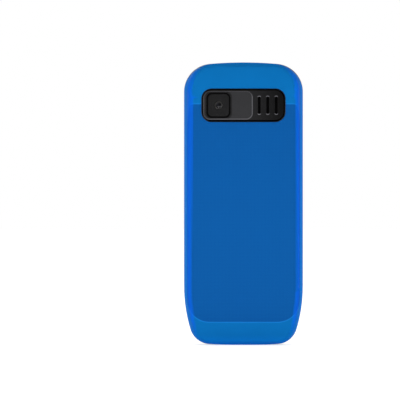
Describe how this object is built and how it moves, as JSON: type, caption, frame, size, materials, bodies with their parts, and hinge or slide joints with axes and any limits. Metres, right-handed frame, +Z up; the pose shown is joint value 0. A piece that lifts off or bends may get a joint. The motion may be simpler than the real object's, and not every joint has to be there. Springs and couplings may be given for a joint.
{
  "type": "feature phone",
  "caption": "Feature phone with a number keypad, a blue wrap-round rear cover that lifts off, a removable battery, and a rounded camera and loudspeaker island on the back.",
  "frame": {"origin": "middle of the bounding box on its lowest plane, under the phone standing on its bottom end", "axes": "+Z up the phone towards the top end, +Y out of the back (camera side), the screen and keys face -Y"},
  "size_m": [0.0488, 0.0154, 0.116],
  "materials": {
    "housing_black": "fine satin moulding",
    "cover_blue": "gloss, with a fine dot texture on the middle field",
    "panel_black": "satin",
    "key_black": "satin, with plain white digits",
    "window_glass": "clear over a black border",
    "lens_glass": "dark tint",
    "silicone": "translucent grey",
    "foam": "closed-cell foam",
    "film": "thin clear film",
    "spring_steel": "plain",
    "shield_steel": "tin plated",
    "board_green": "solder mask",
    "chip_black": "moulded",
    "ribbon_amber": "polyimide",
    "gold": "gold plated",
    "copper": "thin foil",
    "battery_grey": "wrapped cell",
    "display_glass": "liquid crystal panel",
    "backlight_white": "moulded frame"
  },
  "bodies": {
    "phone": {"front_housing": "housing_black", "rear_chassis": "housing_black", "chassis_screws": "spring_steel", "camera_panel": "panel_black", "camera_window": "lens_glass", "camera_module": "chip_black", "camera_lens": "lens_glass", "camera_flex": "ribbon_amber", "loudspeaker": "chip_black", "speaker_mesh": "foam", "display_window": "window_glass", "display_foam": "foam", "display_panel": "display_glass", "display_backlight": "backlight_white", "display_flex": "ribbon_amber", "earpiece": "chip_black", "earpiece_mesh": "foam", "keypad_mat": "silicone", "dome_film": "film", "key_domes": "spring_steel", "main_board": "board_green", "board_parts": "chip_black", "sim_socket_1": "shield_steel", "sim_socket_2": "shield_steel", "card_socket": "shield_steel", "shield_can_left": "shield_steel", "shield_can_right": "shield_steel", "battery_connector": "chip_black", "connector_springs": "gold", "usb_socket": "shield_steel", "usb_tongue": "chip_black", "jack_socket": "chip_black", "microphone": "shield_steel", "vibration_motor": "spring_steel", "antenna_film": "copper"},
    "rear_cover": {"rear_cover": "cover_blue"},
    "battery": {"battery": "battery_grey", "battery_terminals": "gold"},
    "nav_pad": {"nav_pad": "silicone"},
    "nav_ring": {"nav_ring": "key_black"},
    "ok_key": {"ok_key": "key_black"},
    "motor_weight": {"motor_weight": "spring_steel"},
    "key_star": {"key_star": "key_black"},
    "key_0": {"key_0": "key_black"},
    "key_hash": {"key_hash": "key_black"},
    "key_7": {"key_7": "key_black"},
    "key_8": {"key_8": "key_black"},
    "key_9": {"key_9": "key_black"},
    "key_4": {"key_4": "key_black"},
    "key_5": {"key_5": "key_black"},
    "key_6": {"key_6": "key_black"},
    "key_1": {"key_1": "key_black"},
    "key_2": {"key_2": "key_black"},
    "key_3": {"key_3": "key_black"},
    "soft_key_left": {"soft_key_left": "key_black"},
    "soft_key_right": {"soft_key_right": "key_black"},
    "call_key": {"call_key": "key_black"},
    "end_key": {"end_key": "key_black"}
  },
  "joints": [
    {"name": "cover_lift", "type": "slide", "parent": "phone", "child": "rear_cover", "axis": [0, 1, 0], "range_m": [0, 0.06]},
    {"name": "battery_lift", "type": "slide", "parent": "phone", "child": "battery", "axis": [0, 1, 0], "range_m": [0, 0.03]},
    {"name": "key_star_press", "type": "slide", "parent": "phone", "child": "key_star", "axis": [0, 1, 0], "range_m": [0, 0.0003], "stiffness_N_per_m": 3000, "springref_m": -0.0003},
    {"name": "key_0_press", "type": "slide", "parent": "phone", "child": "key_0", "axis": [0, 1, 0], "range_m": [0, 0.0003], "stiffness_N_per_m": 3000, "springref_m": -0.0003},
    {"name": "key_hash_press", "type": "slide", "parent": "phone", "child": "key_hash", "axis": [0, 1, 0], "range_m": [0, 0.0003], "stiffness_N_per_m": 3000, "springref_m": -0.0003},
    {"name": "key_7_press", "type": "slide", "parent": "phone", "child": "key_7", "axis": [0, 1, 0], "range_m": [0, 0.0003], "stiffness_N_per_m": 3000, "springref_m": -0.0003},
    {"name": "key_8_press", "type": "slide", "parent": "phone", "child": "key_8", "axis": [0, 1, 0], "range_m": [0, 0.0003], "stiffness_N_per_m": 3000, "springref_m": -0.0003},
    {"name": "key_9_press", "type": "slide", "parent": "phone", "child": "key_9", "axis": [0, 1, 0], "range_m": [0, 0.0003], "stiffness_N_per_m": 3000, "springref_m": -0.0003},
    {"name": "key_4_press", "type": "slide", "parent": "phone", "child": "key_4", "axis": [0, 1, 0], "range_m": [0, 0.0003], "stiffness_N_per_m": 3000, "springref_m": -0.0003},
    {"name": "key_5_press", "type": "slide", "parent": "phone", "child": "key_5", "axis": [0, 1, 0], "range_m": [0, 0.0003], "stiffness_N_per_m": 3000, "springref_m": -0.0003},
    {"name": "key_6_press", "type": "slide", "parent": "phone", "child": "key_6", "axis": [0, 1, 0], "range_m": [0, 0.0003], "stiffness_N_per_m": 3000, "springref_m": -0.0003},
    {"name": "key_1_press", "type": "slide", "parent": "phone", "child": "key_1", "axis": [0, 1, 0], "range_m": [0, 0.0003], "stiffness_N_per_m": 3000, "springref_m": -0.0003},
    {"name": "key_2_press", "type": "slide", "parent": "phone", "child": "key_2", "axis": [0, 1, 0], "range_m": [0, 0.0003], "stiffness_N_per_m": 3000, "springref_m": -0.0003},
    {"name": "key_3_press", "type": "slide", "parent": "phone", "child": "key_3", "axis": [0, 1, 0], "range_m": [0, 0.0003], "stiffness_N_per_m": 3000, "springref_m": -0.0003},
    {"name": "soft_key_left_press", "type": "slide", "parent": "phone", "child": "soft_key_left", "axis": [0, 1, 0], "range_m": [0, 0.0003], "stiffness_N_per_m": 3000, "springref_m": -0.0003},
    {"name": "soft_key_right_press", "type": "slide", "parent": "phone", "child": "soft_key_right", "axis": [0, 1, 0], "range_m": [0, 0.0003], "stiffness_N_per_m": 3000, "springref_m": -0.0003},
    {"name": "call_key_press", "type": "slide", "parent": "phone", "child": "call_key", "axis": [0, 1, 0], "range_m": [0, 0.0003], "stiffness_N_per_m": 3000, "springref_m": -0.0003},
    {"name": "end_key_press", "type": "slide", "parent": "phone", "child": "end_key", "axis": [0, 1, 0], "range_m": [0, 0.0003], "stiffness_N_per_m": 3000, "springref_m": -0.0003},
    {"name": "ok_key_press", "type": "slide", "parent": "phone", "child": "ok_key", "axis": [0, 1, 0], "range_m": [0, 0.0003], "stiffness_N_per_m": 3000, "springref_m": -0.0003},
    {"name": "ring_tilt_up_down", "type": "hinge", "parent": "phone", "child": "nav_pad", "pos_m": [0, -0.0055, 0.0503], "axis": [1, 0, 0], "range_deg": [-2.5, 2.5], "stiffness_Nm_per_rad": 0.15},
    {"name": "ring_tilt_left_right", "type": "hinge", "parent": "nav_pad", "child": "nav_ring", "pos_m": [0, -0.0055, 0.0503], "axis": [0, 0, 1], "range_deg": [-2.5, 2.5], "stiffness_Nm_per_rad": 0.15},
    {"name": "motor_spin", "type": "hinge", "parent": "phone", "child": "motor_weight", "pos_m": [-0.0066, -0.00055, 0.0237], "axis": [1, 0, 0], "continuous": true}
  ],
  "couplings": [
    {"joint": "battery_lift", "follows": "cover_lift", "ratio": 0.5}
  ]
}
